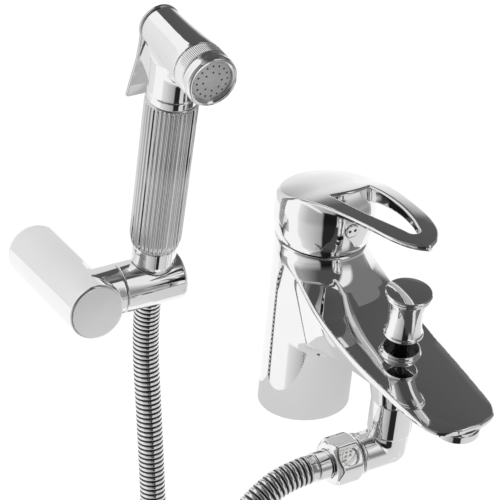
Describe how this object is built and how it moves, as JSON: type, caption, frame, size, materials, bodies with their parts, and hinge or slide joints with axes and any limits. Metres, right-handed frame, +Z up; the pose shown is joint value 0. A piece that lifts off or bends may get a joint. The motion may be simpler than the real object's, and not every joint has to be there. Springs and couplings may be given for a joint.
{
  "type": "bidet tap",
  "caption": "Single lever bidet tap with a diverter in its spout, and a trigger hand shower on a metal hose in a swivelling wall holder.",
  "frame": {"origin": "centre of the tap's round foot, on the deck that it stands on", "axes": "+Z up off the deck, -Y out over the basin along the spout, +Y to the wall, +X to the right of someone facing the tap"},
  "size_m": [0.1453, 0.2554, 0.6367],
  "materials": {
    "chrome": "polished chrome plate",
    "dark_rubber": "matt black rubber",
    "cartridge_plastic": "moulded satin plastic",
    "ceramic": "lapped ceramic",
    "brass": "machined brass",
    "steel": "zinc plated or stainless steel",
    "white_plastic": "moulded plastic",
    "black_plastic": "moulded plastic",
    "plug_chrome": "polished chrome plate with two dark dots",
    "hose_chrome": "chrome plated interlocked metal"
  },
  "bodies": {
    "mixer": {"tap_body": "chrome", "foot_block": "brass", "base_seal": "dark_rubber", "cartridge_housing": "cartridge_plastic", "fixed_disc": "ceramic", "gland_nut": "brass", "cover_ring": "chrome", "diverter_bush": "black_plastic", "stem_o_ring": "dark_rubber", "outlet_elbow": "chrome", "elbow_o_ring": "dark_rubber", "check_valve": "white_plastic", "outlet_nut": "chrome", "outlet_washer": "dark_rubber", "outlet_ferrule": "chrome", "aerator_housing": "chrome", "aerator_insert": "white_plastic", "aerator_washer": "dark_rubber", "wall_post": "chrome", "wall_plate": "white_plastic", "post_grub": "steel", "pivot_bolt": "steel", "shower_hose": "hose_chrome"},
    "carrier": {"stem_carrier": "cartridge_plastic", "stem_pin": "steel"},
    "disc": {"moving_disc": "ceramic"},
    "lever": {"lever_handle": "chrome", "lever_stem": "brass", "grub_screw": "steel", "index_plug": "plug_chrome"},
    "diverter": {"diverter_knob": "chrome", "diverter_stem": "steel", "diverter_seal": "dark_rubber"},
    "holder": {"holder": "chrome"},
    "handset": {"handset_cone": "chrome", "grip_sleeve": "chrome", "water_tube": "brass", "handset_body": "chrome", "spray_bezel": "chrome", "spray_plate": "chrome", "spray_gasket": "dark_rubber", "spray_cup": "white_plastic", "trigger_pin": "steel", "handset_nut": "chrome", "handset_ferrule": "chrome", "valve_spring": "steel"},
    "trigger": {"trigger": "chrome"},
    "valve": {"valve_piston": "brass", "valve_seal": "dark_rubber"}
  },
  "joints": [
    {"name": "lever_turn", "type": "hinge", "parent": "mixer", "child": "carrier", "pos_m": [0, 0, 0], "axis": [0, -0.1495, 0.9888], "range_deg": [-45, 45]},
    {"name": "lever_lift", "type": "hinge", "parent": "carrier", "child": "lever", "pos_m": [0, -0.01294, 0.08553], "axis": [-1, 0, 0], "range_deg": [0, 20]},
    {"name": "disc_slide", "type": "slide", "parent": "carrier", "child": "disc", "axis": [0, -0.9888, -0.1495], "range_m": [0, 0.00545]},
    {"name": "diverter_pull", "type": "slide", "parent": "mixer", "child": "diverter", "axis": [0, -0.1495, 0.9888], "range_m": [-0.007, 0]},
    {"name": "holder_tilt", "type": "hinge", "parent": "mixer", "child": "holder", "pos_m": [-0.07, 0.0432, 0.067], "axis": [1, 0, 0], "range_deg": [-20, 20], "deforming": ["shower_hose"]},
    {"name": "handset_lift", "type": "slide", "parent": "holder", "child": "handset", "axis": [0, -0.2504, 0.9681], "range_m": [0, 0.045], "deforming": ["shower_hose"]},
    {"name": "trigger_press", "type": "hinge", "parent": "handset", "child": "trigger", "pos_m": [-0.0653, 0.0342, 0.1932], "axis": [-1, 0, 0], "range_deg": [0, 6], "stiffness_Nm_per_rad": 2, "springref_deg": -5.73},
    {"name": "valve_pull", "type": "slide", "parent": "handset", "child": "valve", "axis": [0, 0.9816, 0.1908], "range_m": [0, 0.0021], "deforming": ["valve_spring"]}
  ],
  "couplings": [
    {"joint": "disc_slide", "follows": "lever_lift", "m_per_rad": 0.0153},
    {"joint": "valve_pull", "follows": "trigger_press", "m_per_rad": 0.0187}
  ]
}
